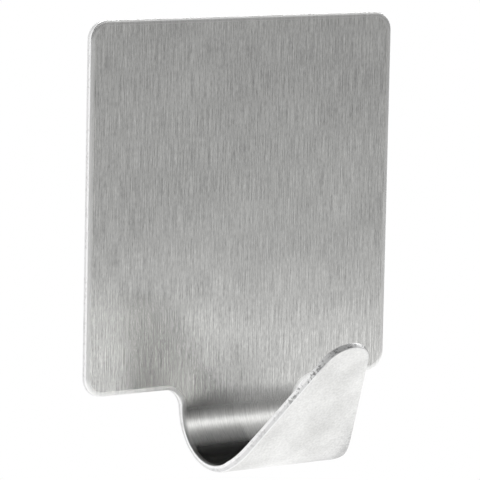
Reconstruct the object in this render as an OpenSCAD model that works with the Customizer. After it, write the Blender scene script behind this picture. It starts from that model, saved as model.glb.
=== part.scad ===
// Adhesive wall hook: one stamped and bent steel sheet on a double-sided foam pad.
// Millimetres. +Z is up, the hook reaches forward along -Y, and the wall side lies on y = 0.
// The origin is the centre of the wall side.

/* [Plate] */
// Width of the flat plate
plate_w = 40; // [30:1:60]
// Height of the flat plate
plate_h = 40; // [30:1:60]
// Thickness of the sheet
sheet_t = 0.8; // [0.6:0.1:1.2]
// Radius of the plate's corners
corner_r = 2.1; // [1:0.1:5]

/* [Hook] */
// Width of the tongue that is bent into the hook
tongue_w = 15; // [10:0.5:20]
// Radius of the hollow corners where the tongue leaves the plate
root_r = 2.3; // [0.5:0.1:4]
// Straight drop from the plate's lower edge to the bend
neck_h = 1.5; // [0.5:0.1:5]
// Inside radius of the bend
bend_r = 5.8; // [3:0.1:10]
// Angle that the sheet is bent through, in degrees
bend_angle = 143; // [110:1:165]
// How much the sheet thins at each of its faces where it is bent
bend_thinning = 0.01; // [0.005:0.005:0.04]
// Length of the straight lip, from the end of the bend to the tip
lip_l = 15.4; // [10:0.1:25]
// How far back into the bend the lip's taper begins
taper_lead = 2.2; // [0:0.1:3]
// Radius of the lip's rounded tip
tip_r = 2.9; // [1:0.1:4.5]

/* [Pad] */
// Margin between the plate's outline and the pad's
pad_inset = 2; // [1:0.1:5]
// Radius of the pad's corners
pad_corner_r = 2; // [0.5:0.1:5]
// Thickness of the foam carrier
foam_t = 0.8; // [0.5:0.1:2]
// Thickness of each adhesive layer
adhesive_t = 0.1; // [0.05:0.01:0.2]
// Thickness of the release liner
liner_t = 0.1; // [0.05:0.01:0.2]
// How far the liner stands out past the pad all round
liner_margin = 0.6; // [0.2:0.1:0.9]

/* [Hidden] */
$fn = 96;

// Depths of the layers, counted from the wall side
wall_adhesive_y = -liner_t;
foam_y = wall_adhesive_y - adhesive_t;
plate_adhesive_y = foam_y - foam_t;
sheet_back_y = plate_adhesive_y - adhesive_t;
sheet_front_y = sheet_back_y - sheet_t;

// Pad and liner outlines follow the plate
pad_w = plate_w - 2 * pad_inset;
pad_h = plate_h - 2 * pad_inset;
liner_w = pad_w + 2 * liner_margin;
liner_h = pad_h + 2 * liner_margin;
liner_corner_r = pad_corner_r + liner_margin;

// Centre line of the bend, which lies in front of the plate's face
bend_outer_r = bend_r + sheet_t;
bend_y = sheet_front_y - bend_r;
bend_z = -plate_h / 2 - neck_h;

// How far the ends of the bend run into the flat sheet, in degrees
bend_lap = 1;
bend_end = [cos(bend_angle + bend_lap), -sin(bend_angle + bend_lap)];

// Far enough out from the bend to pass every face of the hook
reach = bend_outer_r + lip_l;

// Outline of the lip: its sides run from the start of the taper to the tip's arc
// They pass just inside the arc, by a share of its radius, so that they cross it cleanly
tip_pass_share = 0.001;
side_r = tip_r * (1 - tip_pass_share);
tongue_half = tongue_w / 2;
tip_centre = lip_l - tip_r;
taper_run = tip_centre + taper_lead;
taper_start = [tongue_half, -taper_lead];
taper_angle = atan2(tongue_half, taper_run) - asin(side_r / norm([tongue_half, taper_run]));
side_end = [side_r * cos(taper_angle), tip_centre + side_r * sin(taper_angle)];
// The same sides, run on a little past the edge of the tongue
taper_overrun_share = 0.1;
taper_out = taper_start + (taper_start - side_end) * taper_overrun_share;

// A rectangle with round corners, centred
module round_rect(w, h, r) {
    square([w - 2 * r, h], center = true);
    square([w, h - 2 * r], center = true);
    for (x = [-1, 1], z = [-1, 1])
        translate([x * (w / 2 - r), z * (h / 2 - r)]) circle(r);
}

// One hollow corner between the plate's lower edge and the right side of the tongue
module root_web() {
    translate([tongue_half, -plate_h / 2 - root_r])
        difference() {
            square(root_r);
            translate([root_r, 0]) circle(root_r);
        }
}

// The plate and tongue seen from the front
module front_outline() {
    round_rect(plate_w, plate_h, corner_r);
    translate([-tongue_half, bend_z - reach]) square([tongue_w, plate_h / 2 + neck_h + reach]);
    root_web();
    mirror([1, 0]) root_web();
}

// What is cut away round the lip, seen square to its face, with the zero line at the end of the bend
module lip_waste() {
    difference() {
        translate([-plate_w, taper_out[1]]) square([2 * plate_w, reach]);
        polygon([taper_out, side_end, [-side_end[0], side_end[1]], [-taper_out[0], taper_out[1]]]);
        translate([0, tip_centre]) circle(tip_r);
    }
}

// The ring that the bend is cut from, seen from the side
module bend_ring() {
    difference() {
        circle(bend_outer_r - bend_thinning);
        circle(bend_r + bend_thinning);
    }
}

// Side view of the whole sheet: the plate and neck, the bend and the lip
module sheet_side() {
    translate([sheet_front_y, bend_z]) square([sheet_t, plate_h + neck_h]);
    translate([bend_y, bend_z]) {
        intersection() {
            bend_ring();
            polygon([
                [0, 0],
                [reach, reach * tan(bend_lap)],
                [reach, -reach],
                [-reach, -reach],
                reach * bend_end
            ]);
        }
        rotate(-bend_angle) translate([bend_r, -lip_l]) square([sheet_t, lip_l]);
    }
}

// Draws a side view out across the width of the plate
module across() {
    translate([-plate_w / 2, 0, 0]) rotate([90, 0, 90]) linear_extrude(plate_w) children();
}

// Extrudes a front view back and forward through the whole hook
module through_front() {
    translate([0, reach, 0]) rotate([90, 0, 0]) linear_extrude(3 * reach) children();
}

// Extrudes an outline square to the lip, outwards from the bend's centre
module through_lip() {
    translate([0, bend_y, bend_z]) rotate([270 - bend_angle, 0, 0]) linear_extrude(reach) children();
}

// A flat layer of the pad, with its wall side at y
module layer(y, t, w, h, r) {
    translate([0, y, 0]) rotate([90, 0, 0]) linear_extrude(t) round_rect(w, h, r);
}

module hook_plate() {
    color("silver")
        difference() {
            intersection() {
                across() sheet_side();
                through_front() front_outline();
            }
            through_lip() lip_waste();
        }
}

module plate_adhesive() {
    color("gainsboro") layer(plate_adhesive_y, adhesive_t, pad_w, pad_h, pad_corner_r);
}

module foam_pad() {
    color("white") layer(foam_y, foam_t, pad_w, pad_h, pad_corner_r);
}

module wall_adhesive() {
    color("gainsboro") layer(wall_adhesive_y, adhesive_t, pad_w, pad_h, pad_corner_r);
}

module release_liner() {
    color("lemonchiffon") layer(0, liner_t, liner_w, liner_h, liner_corner_r);
}

hook_plate();
plate_adhesive();
foam_pad();
wall_adhesive();
release_liner();
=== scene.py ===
import math

import bmesh
import bpy
from mathutils import Matrix, Vector


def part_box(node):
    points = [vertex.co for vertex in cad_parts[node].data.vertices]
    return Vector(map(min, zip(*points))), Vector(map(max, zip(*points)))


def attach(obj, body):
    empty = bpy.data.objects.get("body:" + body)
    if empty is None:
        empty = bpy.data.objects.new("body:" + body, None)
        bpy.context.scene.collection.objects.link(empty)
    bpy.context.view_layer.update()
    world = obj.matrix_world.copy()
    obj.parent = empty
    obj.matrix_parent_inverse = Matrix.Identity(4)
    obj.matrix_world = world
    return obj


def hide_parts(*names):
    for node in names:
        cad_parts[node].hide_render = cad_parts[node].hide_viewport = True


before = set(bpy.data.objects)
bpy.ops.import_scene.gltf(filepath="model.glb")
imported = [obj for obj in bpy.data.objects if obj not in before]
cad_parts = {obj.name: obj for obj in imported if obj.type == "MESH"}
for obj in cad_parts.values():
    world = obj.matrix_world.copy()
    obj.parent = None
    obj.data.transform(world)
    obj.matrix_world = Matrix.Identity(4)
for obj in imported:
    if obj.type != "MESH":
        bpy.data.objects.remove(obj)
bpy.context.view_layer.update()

MM = 0.001

# The stamped sheet, as in the solid model
SHEET_T = 0.8 * MM
CORNER_R = 2.1 * MM
TONGUE_W = 15 * MM
NECK_H = 1.5 * MM
ROOT_R = 2.3 * MM
BEND_R = 5.8 * MM
BEND_ANGLE = math.radians(143)
LIP_L = 15.4 * MM
TAPER_LEAD = 2.2 * MM
TIP_R = 2.9 * MM

# In the photograph the left root is a little tighter than the solid's and the right one a little wider
LEFT_ROOT_R = 2.1 * MM
RIGHT_ROOT_R = 3 * MM
# The punch draws the front rim down, wide across the face and shallow in depth
ROLL_W = 0.55 * MM
ROLL_D = 0.13 * MM
ROLL_STEPS = 8
# The back rim has only a small round
BACK_ROUND = 0.09 * MM
ROUND_STEPS = 3
# The lip's sides are sheared at a lean, so that its inner face is a little the wider
LIP_LEAN_SHARE = 0.075
LEAN_RUN = 4 * MM

# How finely arcs, the bend and its middle line are stepped, and what counts as the same point
ARC_STEPS = 16
BEND_STEPS = 80
LINE_STEPS = 64
MERGE = 1e-7
# Limits on the Y of a face's normal: the front lies below the first, flat faces above the next
# and sides within the last
FRONT_FACING = -0.55
FLAT_FACING = 0.9
SIDE_FACING = 0.5
# A bevel's profile when it is round
ROUND_PROFILE = 0.5
# The sheet's curve comes on over this length at each end of the bend, and doesn't start at once
EASE_L = 3 * MM

# The pad and its liner, as in the solid model
PAD_CORNER_R = 2 * MM
LINER_CORNER_R = 2.6 * MM
LINER_MARGIN = 0.6 * MM
# The adhesive's rims are rounded by a share of its thickness
FILM_ROUND_SHARE = 1 / 3
# The foam's cut sides draw in a little, and the liner's free rim curls towards the plate in waves
FOAM_WAIST = 0.07 * MM
FOAM_STEPS = 6
LINER_CURL = 0.14 * MM
CURL_STEPS = 3
CURL_WAVES = 7
CURL_WAVE_SHARE = 0.45

# The camera, fitted to the outline in the photograph
CAMERA_AZIMUTH = math.radians(36.354)
CAMERA_ELEVATION = math.radians(7.432)
CAMERA_ROLL = math.radians(1.161)
CAMERA_TARGET = Vector((-0.453, -2.247, -4.2005)) * MM
CAMERA_DISTANCE = 410.93 * MM
CAMERA_LENS = 284.835

# The studio: a round table, two soft boxes, and the room that the steel mirrors
WHITE = (1, 1, 1, 1)
TABLE_Z = -0.13
TABLE_R = 0.5
TABLE_SEGMENTS = 96
TABLE_COLOR = (0.85, 0.85, 0.85, 1)
TABLE_ROUGHNESS = 0.9
TABLE_GLOW = 0.3
TENT_R = 2
TENT_SEGMENTS = 64
TENT_RINGS = 32
BOX_DISTANCE = 0.9
BOX_AZIMUTH = math.radians(75)
BOX_ELEVATION = math.radians(22)
BOX_W = 1.1
BOX_H = 0.45
BOX_RADIANCE = 2.4
AMBIENT = 0.65
# Each side of the room by elevation in degrees and brightness: the table's rim glows, overhead is dark
BACKDROP = [(-15, 0.9), (8, 1.0), (34, 1.0), (44, 0.1), (60, 0.0)]
LEFT_ROOM = [(-15, 0.65), (-9.5, 1.0), (-7.5, 0.5), (-5, 0.4), (8, 0.3), (28, 0.3), (34, 0.0)]
FRONT_ROOM = [
    (-15, 0.6), (-9.5, 0.72), (-7.6, 0.47), (-6, 0.6), (-5, 0.54), (2, 0.5), (8, 0.0), (20, 0.0), (26, 0.9),
    (32, 0.9), (38, 0.0),
]
NEAR_BOX = [
    (-15, 0.9), (-9.5, 1.35), (-7.6, 0.42), (-6, 0.68), (-5, 0.5), (2, 0.45), (8, 0.8), (14, 1.1),
    (20, 1.6), (26, 3.0), (32, 1.8), (38, 0.0),
]
DIM_GAP = [
    (-15, 0.5), (-9.5, 0.8), (-7.6, 0.3), (-5, 0.2), (2, 0.0), (20, 0.0), (26, 1.5), (32, 3.6), (38, 0.0),
]
SIDE_BOX = [
    (-15, 0.4), (-9.5, 0.6), (-7.6, 0.2), (2, 0.0), (14, 0.8), (20, 2.0), (26, 5.2), (32, 8.4), (38, 0.4),
    (44, 0.0),
]
FAR_BOX = [
    (-15, 0.4), (-9.5, 0.6), (-7.6, 0.2), (8, 0.0), (14, 0.5), (20, 1.4), (26, 3.4), (32, 6.8), (38, 5.0),
    (44, 1.2), (50, 0.0),
]
REAR_BOX = [(-15, 0.4), (-9.5, 0.6), (-7.6, 0.2), (8, 0.0), (20, 1.6), (32, 4.4), (57, 4.0), (66, 0.0)]
# The room's sides by azimuth in degrees, counted from the front towards the right
ROOM = [
    (-140, BACKDROP), (-70, LEFT_ROOM), (20, FRONT_ROOM), (45, NEAR_BOX), (70, DIM_GAP), (95, SIDE_BOX),
    (125, FAR_BOX), (150, REAR_BOX), (180, BACKDROP),
]

# Places in the flat blank, where the tongue and the lip still hang straight down
plate_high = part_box("hook_plate")[1]
PLATE_HALF = plate_high.x
PLATE_TOP = plate_high.z
PLATE_FOOT = -PLATE_TOP
SHEET_BACK = plate_high.y
SHEET_FRONT = SHEET_BACK - SHEET_T
BEND_Z = PLATE_FOOT - NECK_H
SHEET_MID = SHEET_BACK - SHEET_T / 2
BEND_MID_R = BEND_R + SHEET_T / 2
BEND_L = BEND_MID_R * BEND_ANGLE
LIP_START = BEND_Z - BEND_L
BLANK_FOOT = LIP_START - LIP_L
# The bending tool leaves a coarser finish as far as this past the start of the bend
WORKED_L = 6.3 * MM
# The bend draws the middle of the plate's foot forward a little, which shows in its shading
DRAW_H = 7 * MM
DRAW_W = 6 * MM
DRAW_D = 0.11 * MM
# Where the lip's outer face is darkened by a painted shade, standing in for a dark reflection
LIP_SHADE_X = TONGUE_W / 2 - 0.7 * MM
LIP_SHADE_Z = LIP_START - 1 * MM
LIP_SHADE_FADE = 3.5 * MM
# Where the lip's cut edge is torn, and where its dull tip begins
TORN_Z = LIP_START - 8.5 * MM
DULL_TIP_SHARE = 0.8
TIP_Z = BLANK_FOOT + DULL_TIP_SHARE * TIP_R
TIP_FADE = 2 * MM


def new_object(name, bm, materials):
    """Makes an object of a bmesh, with its place in its mesh."""
    mesh = bpy.data.meshes.new(name)
    bm.to_mesh(mesh)
    bm.free()
    for material in materials:
        mesh.materials.append(material)
    piece = bpy.data.objects.new(name, mesh)
    bpy.context.scene.collection.objects.link(piece)
    return piece


def hang_piece(piece, body, node):
    """Lets a piece ride on its body in place of its plain solid."""
    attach(piece, body)
    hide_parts(node)


def line_to(bm, vert, x, z):
    """Draws a straight edge on from a vertex."""
    end = bmesh.ops.extrude_vert_indiv(bm, verts=[vert])["verts"][0]
    end.co = (x, vert.co.y, z)
    return end


def arc_to(bm, vert, x, z, angle):
    """Draws an arc on from a vertex, about the centre x, z, clockwise as seen from the front."""
    last = bmesh.ops.spin(
        bm, geom=[vert], cent=(x, vert.co.y, z), axis=(0, 1, 0), angle=angle, steps=ARC_STEPS
    )["geom_last"]
    return next(item for item in last if isinstance(item, bmesh.types.BMVert))


def close_outline(bm):
    """Mirrors the right half of an outline and fills it."""
    bmesh.ops.mirror(
        bm, geom=bm.verts[:] + bm.edges[:], matrix=Matrix.Identity(4), merge_dist=MERGE, axis="X"
    )
    bmesh.ops.remove_doubles(bm, verts=bm.verts[:], dist=MERGE)
    return bmesh.ops.contextual_create(bm, geom=bm.edges[:])["faces"][0]


def thicken(bm, face, depth):
    """Turns a face into a closed slab that reaches back along +Y."""
    grown = bmesh.ops.extrude_face_region(bm, geom=[face])["geom"]
    moved = [item for item in grown if isinstance(item, bmesh.types.BMVert)]
    bmesh.ops.translate(bm, verts=moved, vec=(0, depth, 0))
    bmesh.ops.recalc_face_normals(bm, faces=bm.faces[:])


def slice_across(bm, place, normal):
    """Cuts new edges into a mesh along a plane."""
    bmesh.ops.bisect_plane(
        bm, geom=bm.verts[:] + bm.edges[:] + bm.faces[:], dist=MERGE, plane_co=place, plane_no=normal
    )


def round_rim(bm, y, offset, steps):
    """Rounds the rim of a slab's face at the depth y."""
    rim = [
        edge
        for edge in bm.edges
        if all(abs(vert.co.y - y) < MERGE for vert in edge.verts)
        and any(abs(face.normal.y) < SIDE_FACING for face in edge.link_faces)
    ]
    bmesh.ops.bevel(
        bm,
        geom=rim,
        offset=offset,
        offset_type="OFFSET",
        segments=steps,
        profile=ROUND_PROFILE,
        affect="EDGES",
        material=-1,
    )


def stamp_blank():
    """The flat blank of the hook: the plate, the tongue and the tapered lip, with the lip at the bottom."""
    tip_z = BLANK_FOOT + TIP_R
    taper_z = LIP_START + TAPER_LEAD
    run = Vector((TONGUE_W / 2, taper_z - tip_z))
    taper = math.atan2(run.x, run.y) - math.asin(TIP_R / run.length)
    bm = bmesh.new()
    vert = bm.verts.new((0, SHEET_FRONT, PLATE_TOP))
    vert = line_to(bm, vert, PLATE_HALF - CORNER_R, PLATE_TOP)
    vert = arc_to(bm, vert, PLATE_HALF - CORNER_R, PLATE_TOP - CORNER_R, math.pi / 2)
    vert = line_to(bm, vert, PLATE_HALF, PLATE_FOOT + CORNER_R)
    vert = arc_to(bm, vert, PLATE_HALF - CORNER_R, PLATE_FOOT + CORNER_R, math.pi / 2)
    vert = line_to(bm, vert, TONGUE_W / 2 + ROOT_R, PLATE_FOOT)
    vert = arc_to(bm, vert, TONGUE_W / 2 + ROOT_R, PLATE_FOOT - ROOT_R, -math.pi / 2)
    vert = line_to(bm, vert, TONGUE_W / 2, taper_z)
    vert = line_to(bm, vert, TIP_R * math.cos(taper), tip_z - TIP_R * math.sin(taper))
    arc_to(bm, vert, 0, tip_z, math.pi / 2 - taper)
    outline = close_outline(bm)
    # Each root is drawn to its own radius, away from the corner or towards it
    for side, radius in ((-1, LEFT_ROOT_R), (1, RIGHT_ROOT_R)):
        corner = Vector((side * TONGUE_W / 2, SHEET_FRONT, PLATE_FOOT))
        share = radius / ROOT_R
        reach = ROOT_R + MERGE
        root = [
            vert
            for vert in outline.verts
            if -MERGE < side * (vert.co.x - corner.x) < reach and -reach < vert.co.z - corner.z < MERGE
        ]
        bmesh.ops.scale(bm, vec=(share, 1, share), space=Matrix.Translation(-corner), verts=root)
    thicken(bm, outline, SHEET_T)
    round_rim(bm, SHEET_FRONT, ROLL_W, ROLL_STEPS)
    rolled = [vert for vert in bm.verts if SHEET_FRONT < vert.co.y < SHEET_FRONT + ROLL_W + MERGE]
    about_face = Matrix.Translation((0, -SHEET_FRONT, 0))
    bmesh.ops.scale(bm, vec=(1, ROLL_D / ROLL_W, 1), space=about_face, verts=rolled)
    round_rim(bm, SHEET_BACK, BACK_ROUND, ROUND_STEPS)
    # The lean of the lip's sides comes on with the taper and grows towards the front
    for vert in bm.verts:
        along = min(max((taper_z + LEAN_RUN - vert.co.z) / LEAN_RUN, 0), 1)
        forward = (SHEET_BACK - vert.co.y) / SHEET_T
        vert.co.x *= 1 + LIP_LEAN_SHARE * along * forward
    return bm


def turn_at(past):
    """How far the sheet has turned at a distance past the start of the bend."""
    turn = 0
    for end, sign in ((0, 1), (BEND_L, -1)):
        eased = min(max(past - end + EASE_L / 2, 0), EASE_L)
        round_run = max(past - end - EASE_L / 2, 0)
        turn += sign * (eased * eased / (2 * EASE_L) + round_run) / BEND_MID_R
    return turn


def follow_bend(past):
    """Where the sheet's middle line has come to, in Y and Z, at a distance past the start of the bend."""
    bent = min(past, BEND_L + EASE_L / 2)
    step = (bent + EASE_L / 2) / LINE_STEPS
    turns = [turn_at(-EASE_L / 2 + step * (count + 0.5)) for count in range(LINE_STEPS)]
    straight = past - bent
    last_turn = turn_at(bent)
    start_z = BEND_Z + EASE_L / 2
    y = SHEET_MID - step * sum(math.sin(turn) for turn in turns) - straight * math.sin(last_turn)
    z = start_z - step * sum(math.cos(turn) for turn in turns) - straight * math.cos(last_turn)
    return y, z


def roll_hook(bm):
    """Bends the blank's tongue forward, and keeps each point's place in the blank."""
    for step in range(BEND_STEPS + 1):
        past = (BEND_L + EASE_L) * step / BEND_STEPS - EASE_L / 2
        slice_across(bm, (0, 0, BEND_Z - past), (0, 0, 1))
    blank = bm.verts.layers.float_vector.new("blank")
    flat = bm.loops.layers.uv.new("flat")
    for vert in bm.verts:
        vert[blank] = vert.co
    for face in bm.faces:
        for loop in face.loops:
            loop[flat].uv = (loop.vert.co.x, loop.vert.co.z)
    for vert in bm.verts:
        past = BEND_Z - vert.co.z
        if past <= -EASE_L / 2:
            continue
        turn = turn_at(past)
        out = vert.co.y - SHEET_MID
        y, z = follow_bend(past)
        vert.co.y = y + out * math.cos(turn)
        vert.co.z = z - out * math.sin(turn)


def make_hook_plate(face_steel, back_steel, edge_steel):
    """The bent sheet, brushed in front, as rolled behind and sheared at its edges."""
    bm = stamp_blank()
    bm.normal_update()
    for face in bm.faces:
        face.smooth = True
        if face.normal.y < FRONT_FACING:
            face.material_index = 0
        elif face.normal.y > FLAT_FACING:
            face.material_index = 1
        else:
            face.material_index = 2
    roll_hook(bm)
    piece = new_object("hook_plate_steel", bm, [face_steel, back_steel, edge_steel])
    piece.modifiers.new("even_normals", "WEIGHTED_NORMAL")
    hang_piece(piece, "hook", "hook_plate")


def cut_slab(node, corner_r):
    """A flat slab with round corners that fills a layer's box."""
    low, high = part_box(node)
    bm = bmesh.new()
    vert = bm.verts.new((0, low.y, high.z))
    vert = line_to(bm, vert, high.x - corner_r, high.z)
    vert = arc_to(bm, vert, high.x - corner_r, high.z - corner_r, math.pi / 2)
    vert = line_to(bm, vert, high.x, low.z + corner_r)
    vert = arc_to(bm, vert, high.x - corner_r, low.z + corner_r, math.pi / 2)
    line_to(bm, vert, 0, low.z)
    thicken(bm, close_outline(bm), high.y - low.y)
    return bm


def make_foam_pad(foam):
    """The foam carrier, whose cut sides draw in at the middle of its thickness."""
    low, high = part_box("foam_pad")
    bm = cut_slab("foam_pad", PAD_CORNER_R)
    for step in range(1, FOAM_STEPS):
        share = step / FOAM_STEPS
        depth = low.y + (high.y - low.y) * share
        slice_across(bm, (0, depth, 0), (0, 1, 0))
        ring = [vert for vert in bm.verts if abs(vert.co.y - depth) < MERGE]
        pull = 1 - FOAM_WAIST * math.sin(math.pi * share) / high.x
        bmesh.ops.scale(bm, vec=(pull, 1, pull), verts=ring)
    piece = new_object("pad_foam", bm, [foam])
    hang_piece(piece, "hook", "foam_pad")


def make_adhesive(name, node, tack):
    """One film of adhesive, with its rim rounded as it flows."""
    low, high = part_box(node)
    bm = cut_slab(node, PAD_CORNER_R)
    for y in (low.y, high.y):
        round_rim(bm, y, (high.y - low.y) * FILM_ROUND_SHARE, ROUND_STEPS)
    hang_piece(new_object(name, bm, [tack]), "hook", node)


def past_pad(x, z):
    """How far a point of the liner lies outside the pad's outline."""
    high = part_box("foam_pad")[1]
    across = max(abs(x) - high.x + PAD_CORNER_R, 0)
    along = max(abs(z) - high.z + PAD_CORNER_R, 0)
    return max(math.hypot(across, along) - PAD_CORNER_R, 0)


def make_liner(paper):
    """The release liner, whose free rim past the pad curls a little towards the plate."""
    bm = cut_slab("release_liner", LINER_CORNER_R)
    broad = [face for face in bm.faces if abs(face.normal.y) > FLAT_FACING]
    for _ in range(CURL_STEPS):
        bmesh.ops.inset_region(
            bm, faces=broad, thickness=LINER_MARGIN / CURL_STEPS, use_even_offset=True
        )
    for vert in bm.verts:
        wave = math.sin(CURL_WAVES * math.atan2(vert.co.z, vert.co.x))
        share = past_pad(vert.co.x, vert.co.z) / LINER_MARGIN
        vert.co.y -= LINER_CURL * share * share * (1 + CURL_WAVE_SHARE * wave)
    for face in bm.faces:
        face.smooth = True
    piece = new_object("liner_paper", bm, [paper])
    piece.modifiers.new("even_normals", "WEIGHTED_NORMAL")
    hang_piece(piece, "liner", "release_liner")


def add_node(tree, kind, inputs=None, **options):
    """Adds a node with its options, and sets or links its inputs by name."""
    made = tree.nodes.new(kind)
    for name, value in options.items():
        setattr(made, name, value)
    for name, value in (inputs or {}).items():
        if isinstance(value, bpy.types.NodeSocket):
            tree.links.new(value, made.inputs[name])
        else:
            made.inputs[name].default_value = value
    return made


def add_math(tree, operation, first, second=0.0):
    """Adds one sum, product or other step of arithmetic, and gives its result."""
    return add_node(tree, "ShaderNodeMath", {0: first, 1: second}, operation=operation).outputs[0]


def add_range(tree, value, low, high, to_low, to_high):
    """Carries a value over from one range to another, stopping at its ends."""
    inputs = {
        "Value": value, "From Min": low, "From Max": high, "To Min": to_low, "To Max": to_high,
    }
    return add_node(tree, "ShaderNodeMapRange", inputs).outputs["Result"]


# Sockets of a Mix node go by index, because its kinds of data share their names
MIX_FACTOR = 0
MIX_VALUES = (2, 3)
MIX_COLORS = (6, 7)
MIXED_VALUE = 0
MIXED_COLOR = 2


def add_blend(tree, factor, first, second):
    """Mixes two colours."""
    inputs = {MIX_FACTOR: factor, MIX_COLORS[0]: first, MIX_COLORS[1]: second}
    return add_node(tree, "ShaderNodeMix", inputs, data_type="RGBA").outputs[MIXED_COLOR]


def add_blend_value(tree, factor, first, second):
    """Mixes two values."""
    inputs = {MIX_FACTOR: factor, MIX_VALUES[0]: first, MIX_VALUES[1]: second}
    return add_node(tree, "ShaderNodeMix", inputs, data_type="FLOAT").outputs[MIXED_VALUE]


def add_ramp(tree, value, stops):
    """A ramp of greys with its stops at given places."""
    ramp = add_node(tree, "ShaderNodeValToRGB", {"Fac": value})
    elements = ramp.color_ramp.elements
    while len(elements) < len(stops):
        elements.new(0.5)
    for element, (place, grey) in zip(elements, stops):
        element.position = place
        element.color = (grey, grey, grey, 1)
    return ramp.outputs["Color"]


def new_group(name, inputs, output):
    """Starts a shader node group with its named inputs and one output."""
    group = bpy.data.node_groups.new(name, "ShaderNodeTree")
    for socket, kind in inputs.items():
        group.interface.new_socket(socket, in_out="INPUT", socket_type=kind)
    group.interface.new_socket(output, in_out="OUTPUT", socket_type="NodeSocketFloat")
    given = group.nodes.new("NodeGroupInput").outputs
    result = group.nodes.new("NodeGroupOutput").inputs[output]
    return group, given, result


# How uneven the noise is, and which part of its range is spread out to the whole
STREAK_UNEVEN = 0.6
STREAK_RANGE = (0.3, 0.7)
PATCH_UNEVEN = 0.55
PATCH_RANGE = (0.25, 0.75)


def make_streak_group():
    """Brush streaks: noise drawn out along the blank's height."""
    inputs = {"Place": "NodeSocketVector", "Width": "NodeSocketFloat", "Length": "NodeSocketFloat"}
    group, given, result = new_group("brush_streaks", inputs, "Streak")
    size = add_node(group, "ShaderNodeCombineXYZ", {"X": given["Width"], "Y": 1, "Z": given["Length"]})
    place = add_node(
        group, "ShaderNodeVectorMath", {0: given["Place"], 1: size.outputs[0]}, operation="DIVIDE"
    )
    noise = add_node(
        group, "ShaderNodeTexNoise",
        {"Vector": place.outputs[0], "Scale": 1, "Detail": 2, "Roughness": STREAK_UNEVEN},
    )
    group.links.new(add_range(group, noise.outputs["Fac"], *STREAK_RANGE, 0, 1), result)
    return group


def make_patch_group():
    """Soft patches: smudges, mottling and uneven wear."""
    inputs = {"Place": "NodeSocketVector", "Size": "NodeSocketFloat", "Detail": "NodeSocketFloat"}
    group, given, result = new_group("soft_patches", inputs, "Patch")
    scale = add_math(group, "DIVIDE", 1, given["Size"])
    noise = add_node(
        group, "ShaderNodeTexNoise",
        {"Vector": given["Place"], "Scale": scale, "Detail": given["Detail"], "Roughness": PATCH_UNEVEN},
    )
    group.links.new(add_range(group, noise.outputs["Fac"], *PATCH_RANGE, 0, 1), result)
    return group


def new_material(name, values):
    """Starts a material whose shader has the given plain values."""
    material = bpy.data.materials.new(name)
    material.use_nodes = True
    shader = material.node_tree.nodes["Principled BSDF"]
    for socket, value in values.items():
        shader.inputs[socket].default_value = value
    return material, material.node_tree, shader


def add_group(tree, group, place, output, **values):
    """Places a node group in a material with its own values."""
    made = add_node(tree, "ShaderNodeGroup", node_tree=group)
    tree.links.new(place, made.inputs["Place"])
    for socket, value in values.items():
        made.inputs[socket].default_value = value
    return made.outputs[output]


def add_bump(tree, shader, height, strength, distance):
    """Lets a height bend the shader's normal."""
    bump = add_node(
        tree, "ShaderNodeBump", {"Height": height, "Strength": strength, "Distance": distance}
    )
    tree.links.new(bump.outputs["Normal"], shader.inputs["Normal"])


def blank_place(tree):
    """A point's place in the flat blank, before it was bent."""
    return add_node(tree, "ShaderNodeAttribute", attribute_name="blank").outputs["Vector"]


def object_place(tree):
    """A point's place in the part."""
    return add_node(tree, "ShaderNodeTexCoord").outputs["Object"]


# The brushed front: streaks of two lengths under soft smudges, from dark steel to bright
BRUSH_PULL = 0.8
STREAK_W = 0.12 * MM
SHORT_STREAK_L = 0.6 * MM
LONG_STREAK_L = 3.6 * MM
LONG_STREAK_SHARE = 0.6
SMUDGE_TONE = 0.08
BRUSHED_DARK = (0.32, 0.32, 0.315, 1)
BRUSHED_BRIGHT = (0.88, 0.88, 0.86, 1)
BRUSHED_ROUGHNESS = (0.2, 0.16)
# How high the streaks stand, as a share of the draw of the plate's foot
STREAK_HEIGHT_SHARE = 0.005
# The worked start of the bend is coarser, and its grain is evened out part of the way to a middle tone
WORKED_RAMP = [(0.0, 0.0), (0.38, 1.0), (0.84, 1.0), (1.0, 0.25)]
WORKED_ROUGHNESS = 0.12
WORKED_CALM = 0.45
MIDDLE_TONE = 0.5
# The rolled front rim turns pale, partly polish and partly a painted highlight, and frosted soon after it
# starts
RIM_POWER = 0.3
RIM_ROUGHNESS = 0.35
RIM_POLISH_AND_HIGHLIGHT = (0.95, 0.95, 0.94, 1)


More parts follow.
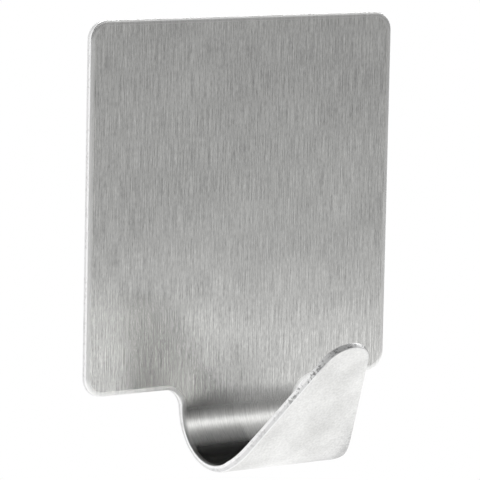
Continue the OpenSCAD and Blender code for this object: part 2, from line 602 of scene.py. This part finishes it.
def brushed_steel(streaks, patches):
    """The front of the sheet: brushed along its height, so that reflections spread sideways."""
    material, tree, shader = new_material("brushed_steel", {"Metallic": 1, "Anisotropic": BRUSH_PULL})
    place = blank_place(tree)
    short = add_group(tree, streaks, place, "Streak", Width=STREAK_W, Length=SHORT_STREAK_L)
    long = add_group(tree, streaks, place, "Streak", Width=STREAK_W, Length=LONG_STREAK_L)
    smudge = add_group(tree, patches, place, "Patch", Size=9 * MM, Detail=2)
    split = add_node(tree, "ShaderNodeSeparateXYZ", {0: place}).outputs
    past = add_range(tree, split["Z"], BEND_Z + EASE_L / 2, BEND_Z - WORKED_L, 0, 1)
    worked = add_ramp(tree, past, WORKED_RAMP)
    grain = add_blend_value(tree, LONG_STREAK_SHARE, short, long)
    calm = add_math(tree, "MULTIPLY", worked, WORKED_CALM)
    grain = add_blend_value(tree, calm, grain, MIDDLE_TONE)
    tone = add_math(tree, "ADD", grain, add_range(tree, smudge, 0, 1, -SMUDGE_TONE, SMUDGE_TONE))
    color = add_blend(tree, tone, BRUSHED_DARK, BRUSHED_BRIGHT)
    rolled = add_range(tree, split["Y"], SHEET_FRONT, SHEET_FRONT + ROLL_D, 0, 1)
    rolled = add_math(tree, "POWER", rolled, RIM_POWER)
    # The pale rim is partly polish and partly a painted highlight along the rolled edge
    color = add_blend(tree, rolled, color, RIM_POLISH_AND_HIGHLIGHT)
    tree.links.new(color, shader.inputs["Base Color"])
    rough = add_range(tree, grain, 0, 1, *BRUSHED_ROUGHNESS)
    for where, extra in ((worked, WORKED_ROUGHNESS), (rolled, RIM_ROUGHNESS)):
        rough = add_math(tree, "ADD", rough, add_math(tree, "MULTIPLY", where, extra))
    tree.links.new(rough, shader.inputs["Roughness"])
    tangent = add_node(tree, "ShaderNodeTangent", direction_type="UV_MAP", uv_map="flat")
    tree.links.new(tangent.outputs["Tangent"], shader.inputs["Tangent"])
    low = add_range(tree, split["Z"], BEND_Z + DRAW_H, BEND_Z, 0, 1)
    middle = add_range(tree, add_math(tree, "ABSOLUTE", split["X"]), 0, DRAW_W, 1, 0)
    drawn = add_math(tree, "MULTIPLY", add_math(tree, "MULTIPLY", low, low), middle)
    streak_height = add_math(tree, "MULTIPLY", grain, STREAK_HEIGHT_SHARE)
    add_bump(tree, shader, add_math(tree, "ADD", drawn, streak_height), 1, DRAW_D)
    return material


# The back as it came from the rolls
MOTTLE_SHARE = 0.5
MILL_DARK = (0.58, 0.58, 0.57, 1)
MILL_BRIGHT = (0.9, 0.9, 0.89, 1)
MILL_ROUGHNESS = (0.5, 0.36)
MILL_BUMP = 0.15
MILL_DEPTH = 0.02 * MM
# The lip's painted shade is full where the steel is dark and weaker where it is bright
LIP_SHADE_COLOR = (0.45, 0.45, 0.45, 1)
LIP_SHADE_TONES = (0.3, 0.7)
LIP_SHADE_SHARES = (1, 0.4)


def mill_steel(patches):
    """The back of the sheet: bright, with soft mottling, a fine grain and a painted shade on the lip."""
    material, tree, shader = new_material("mill_steel", {"Metallic": 1})
    place = blank_place(tree)
    grain = add_group(tree, patches, place, "Patch", Size=0.28 * MM, Detail=2)
    mottle = add_group(tree, patches, place, "Patch", Size=4 * MM, Detail=3)
    tone = add_blend_value(tree, MOTTLE_SHARE, grain, mottle)
    color = add_blend(tree, tone, MILL_DARK, MILL_BRIGHT)
    split = add_node(tree, "ShaderNodeSeparateXYZ", {0: place}).outputs
    # A painted shade on the lip's outer face, standing in for a dark reflection
    across = add_range(tree, split["X"], LIP_SHADE_X - LIP_SHADE_FADE, LIP_SHADE_X, 0, 1)
    along = add_range(tree, split["Z"], LIP_SHADE_Z - LIP_SHADE_FADE, LIP_SHADE_Z, 0, 1)
    lip_shade = add_math(tree, "MULTIPLY", across, along)
    lip_shade = add_math(tree, "MULTIPLY", lip_shade, add_range(tree, tone, *LIP_SHADE_TONES, *LIP_SHADE_SHARES))
    color = add_blend(tree, lip_shade, color, LIP_SHADE_COLOR)
    tree.links.new(color, shader.inputs["Base Color"])
    tree.links.new(add_range(tree, mottle, 0, 1, *MILL_ROUGHNESS), shader.inputs["Roughness"])
    add_bump(tree, shader, grain, MILL_BUMP, MILL_DEPTH)
    return material


# The cut edges by depth, as a share of the sheet's thickness: burnished, torn, then bright at the back
CUT_METALLIC = 0.5
CUT_RAMP = [(0.0, 0.95), (0.42, 0.92), (0.5, 0.76), (0.84, 0.74), (0.92, 0.95), (1.0, 0.95)]
CUT_ROUGH_DEPTHS = (0.35, 0.6)
CUT_ROUGHNESS = (0.4, 0.55)
CUT_BUMP = 0.3
CUT_DEPTH = 0.03 * MM
DULL_TIP_COLOR = (0.4, 0.4, 0.4, 1)
DULL_TIP_BLEND = 0.7
# Dark flecks lie in clusters within the torn band, few on the plate and bend and many towards the lip's tip
FLECK_COLOR = (0.2, 0.2, 0.2, 1)
FLECK_BAND = [(0.15, 0.0), (0.3, 1.0), (0.82, 1.0), (0.92, 0.0)]
FLECK_TONES = (0.28, 0.44)
FLECK_SHARES = (0.2, 0.9)
CLUSTER_TONES = (0.3, 0.7)
CLUSTER_SHIFT = 0.12


def sheared_steel(patches):
    """The cut edges: burnished next to the front face, broken and flecked further back."""
    material, tree, shader = new_material("sheared_steel", {"Metallic": CUT_METALLIC})
    place = blank_place(tree)
    split = add_node(tree, "ShaderNodeSeparateXYZ", {0: place}).outputs
    share = add_range(tree, split["Y"], SHEET_FRONT, SHEET_BACK, 0, 1)
    cut = add_ramp(tree, share, CUT_RAMP)
    tip = add_range(tree, split["Z"], TIP_Z + TIP_FADE, TIP_Z, 0, DULL_TIP_BLEND)
    color = add_blend(tree, tip, cut, DULL_TIP_COLOR)
    fleck = add_group(tree, patches, place, "Patch", Size=0.32 * MM, Detail=3)
    cluster = add_group(tree, patches, place, "Patch", Size=1.4 * MM, Detail=1)
    shift = add_range(tree, cluster, *CLUSTER_TONES, -CLUSTER_SHIFT, CLUSTER_SHIFT)
    torn = add_range(tree, add_math(tree, "ADD", fleck, shift), *FLECK_TONES, 1, 0)
    for mask in (
        add_ramp(tree, share, FLECK_BAND),
        add_range(tree, split["Z"], TORN_Z + TIP_FADE, TORN_Z, *FLECK_SHARES),
    ):
        torn = add_math(tree, "MULTIPLY", torn, mask)
    color = add_blend(tree, torn, color, FLECK_COLOR)
    tree.links.new(color, shader.inputs["Base Color"])
    tree.links.new(add_range(tree, share, *CUT_ROUGH_DEPTHS, *CUT_ROUGHNESS), shader.inputs["Roughness"])
    add_bump(tree, shader, fleck, CUT_BUMP, CUT_DEPTH)
    return material


# The foam's cells are hollow, with a painted shade that turns them grey in the middle, and white walls
FOAM_ROUGHNESS = 0.9
FOAM_SPECULAR = 0.3
FOAM_CELL = 0.16 * MM
FOAM_SHADED_HOLLOW = (0.1, 0.7)
FOAM_SHADE_SHARE = 0.4
FOAM_WHITE = (0.93, 0.93, 0.91, 1)
FOAM_HOLLOW_SHADE = (0.78, 0.78, 0.76, 1)
FOAM_BUMP = 0.6
FOAM_DEPTH = 0.06 * MM


def foam_material(patches):
    """White closed-cell foam."""
    values = {"Roughness": FOAM_ROUGHNESS, "Specular IOR Level": FOAM_SPECULAR}
    material, tree, shader = new_material("pad_foam", values)
    place = object_place(tree)
    cells = add_node(tree, "ShaderNodeTexVoronoi", {"Vector": place, "Scale": 1 / FOAM_CELL})
    shade = add_group(tree, patches, place, "Patch", Size=3 * MM, Detail=2)
    # Painted shade: each cell's hollow is greyed where shade falls into it
    shaded_hollow = add_range(tree, cells.outputs["Distance"], *FOAM_SHADED_HOLLOW, 1, 0)
    tone = add_blend_value(tree, FOAM_SHADE_SHARE, shaded_hollow, shade)
    color = add_blend(tree, tone, FOAM_WHITE, FOAM_HOLLOW_SHADE)
    tree.links.new(color, shader.inputs["Base Color"])
    add_bump(tree, shader, cells.outputs["Distance"], FOAM_BUMP, FOAM_DEPTH)
    return material


# The adhesive film
FILM_COAT = 0.6
FILM_COAT_ROUGHNESS = 0.12
FILM_DULL = (0.76, 0.76, 0.71, 1)
FILM_PALE = (0.88, 0.88, 0.85, 1)
FILM_ROUGHNESS = (0.25, 0.5)
FILM_BUMP = 0.35
FILM_DEPTH = 0.03 * MM


def adhesive_material(patches):
    """Tacky adhesive over the foam: pale, glossy and a little uneven."""
    values = {"Coat Weight": FILM_COAT, "Coat Roughness": FILM_COAT_ROUGHNESS}
    material, tree, shader = new_material("tacky_film", values)
    place = object_place(tree)
    cloud = add_group(tree, patches, place, "Patch", Size=2.5 * MM, Detail=3)
    stipple = add_group(tree, patches, place, "Patch", Size=0.35 * MM, Detail=2)
    color = add_blend(tree, cloud, FILM_DULL, FILM_PALE)
    tree.links.new(color, shader.inputs["Base Color"])
    tree.links.new(add_range(tree, stipple, 0, 1, *FILM_ROUGHNESS), shader.inputs["Roughness"])
    add_bump(tree, shader, stipple, FILM_BUMP, FILM_DEPTH)
    return material


# The liner's paper
PAPER_SPECULAR = 0.4
FIBRE_SHARE = 0.4
PAPER_TAN = (0.8, 0.71, 0.52, 1)
PAPER_PALE = (0.92, 0.85, 0.68, 1)
PAPER_ROUGHNESS = (0.42, 0.55)
PAPER_BUMP = 0.2
PAPER_DEPTH = 0.02 * MM


def liner_material(patches):
    """Siliconised paper: tan, faintly fibrous and satin."""
    material, tree, shader = new_material("liner_paper", {"Specular IOR Level": PAPER_SPECULAR})
    place = object_place(tree)
    cloud = add_group(tree, patches, place, "Patch", Size=1.6 * MM, Detail=4)
    fibre = add_group(tree, patches, place, "Patch", Size=0.25 * MM, Detail=3)
    tone = add_blend_value(tree, FIBRE_SHARE, cloud, fibre)
    color = add_blend(tree, tone, PAPER_TAN, PAPER_PALE)
    tree.links.new(color, shader.inputs["Base Color"])
    tree.links.new(add_range(tree, cloud, 0, 1, *PAPER_ROUGHNESS), shader.inputs["Roughness"])
    add_bump(tree, shader, fibre, PAPER_BUMP, PAPER_DEPTH)
    return material


def make_camera():
    """The camera, at the photograph's viewing angle."""
    turn = (
        Matrix.Rotation(-CAMERA_AZIMUTH, 4, "Z")
        @ Matrix.Rotation(math.pi / 2 - CAMERA_ELEVATION, 4, "X")
        @ Matrix.Rotation(CAMERA_ROLL, 4, "Z")
    )
    back = Matrix.Translation((0, 0, CAMERA_DISTANCE))
    data = bpy.data.cameras.new("camera")
    data.lens = CAMERA_LENS
    camera = bpy.data.objects.new("camera", data)
    bpy.context.scene.collection.objects.link(camera)
    camera.matrix_world = Matrix.Translation(CAMERA_TARGET) @ turn @ back
    bpy.context.scene.camera = camera


def seen_white(tree):
    """Gives 1 for rays that should find a white background: the camera's, mirrored and refracted ones."""
    path = add_node(tree, "ShaderNodeLightPath")
    mirrored = add_math(tree, "MAXIMUM", path.outputs["Is Camera Ray"], path.outputs["Is Glossy Ray"])
    return add_math(tree, "MAXIMUM", mirrored, path.outputs["Is Transmission Ray"])


def make_world():
    """An even white surround, at a plain level for the object's own light."""
    world = bpy.data.worlds.new("studio")
    bpy.context.scene.world = world
    world.use_nodes = True
    tree = world.node_tree
    background = tree.nodes["Background"]
    background.inputs["Color"].default_value = WHITE
    level = add_range(tree, seen_white(tree), 0, 1, AMBIENT, 1)
    tree.links.new(level, background.inputs["Strength"])


def make_table():
    """A pale round table under the hook, which takes its shadow."""
    bm = bmesh.new()
    bmesh.ops.create_circle(bm, cap_ends=True, segments=TABLE_SEGMENTS, radius=TABLE_R)
    bmesh.ops.translate(bm, verts=bm.verts[:], vec=(0, 0, TABLE_Z))
    values = {"Base Color": TABLE_COLOR, "Roughness": TABLE_ROUGHNESS, "Emission Color": WHITE}
    material, tree, shader = new_material("table", values)
    glow = add_math(tree, "MULTIPLY", seen_white(tree), TABLE_GLOW)
    tree.links.new(glow, shader.inputs["Emission Strength"])
    new_object("table", bm, [material])


def make_tent():
    """The room that the steel mirrors: white behind, dim in front and bright on the right."""
    bm = bmesh.new()
    bmesh.ops.create_uvsphere(bm, u_segments=TENT_SEGMENTS, v_segments=TENT_RINGS, radius=TENT_R)
    bmesh.ops.reverse_faces(bm, faces=bm.faces[:])
    material = bpy.data.materials.new("tent")
    material.use_nodes = True
    tree = material.node_tree
    tree.nodes.clear()
    way = add_node(tree, "ShaderNodeVectorMath", {0: object_place(tree)}, operation="NORMALIZE")
    split = add_node(tree, "ShaderNodeSeparateXYZ", {0: way.outputs[0]}).outputs
    rise = add_math(tree, "ARCSINE", split["Z"])
    height = add_range(tree, rise, -math.pi / 2, math.pi / 2, 0, 1)
    turn = add_math(tree, "ARCTAN2", split["X"], add_math(tree, "MULTIPLY", split["Y"], -1))
    sides = []
    for azimuth, side in ROOM:
        stops = [((degrees + 90) / 180, grey) for degrees, grey in side]
        sides.append((math.radians(azimuth), add_ramp(tree, height, stops)))
    look = sides[0][1]
    for (start, _), (end, there) in zip(sides, sides[1:]):
        look = add_blend(tree, add_range(tree, turn, start, end, 0, 1), look, there)
    glow = add_node(tree, "ShaderNodeEmission", {"Color": look})
    out = add_node(tree, "ShaderNodeOutputMaterial")
    tree.links.new(glow.outputs["Emission"], out.inputs["Surface"])
    tent = new_object("light_tent", bm, [material])
    tent.visible_camera = False
    tent.visible_diffuse = False
    tent.visible_shadow = False


def make_soft_boxes():
    """Two large soft boxes, one on each side."""
    for side in (-1, 1):
        data = bpy.data.lights.new("soft_box", "AREA")
        data.shape = "RECTANGLE"
        data.size = BOX_W
        data.size_y = BOX_H
        data.energy = BOX_RADIANCE * math.pi * BOX_W * BOX_H
        lamp = bpy.data.objects.new("soft_box", data)
        lamp.visible_glossy = False
        bpy.context.scene.collection.objects.link(lamp)
        lamp.matrix_world = (
            Matrix.Rotation(side * BOX_AZIMUTH, 4, "Z")
            @ Matrix.Rotation(math.pi / 2 - BOX_ELEVATION, 4, "X")
            @ Matrix.Translation((0, 0, BOX_DISTANCE))
        )


make_camera()
make_world()
make_table()
make_tent()
make_soft_boxes()

streaks = make_streak_group()
patches = make_patch_group()
make_hook_plate(brushed_steel(streaks, patches), mill_steel(patches), sheared_steel(patches))
make_foam_pad(foam_material(patches))
film = adhesive_material(patches)
make_adhesive("plate_film", "plate_adhesive", film)
make_adhesive("wall_film", "wall_adhesive", film)
make_liner(liner_material(patches))

bpy.context.scene.view_settings.view_transform = "Standard"
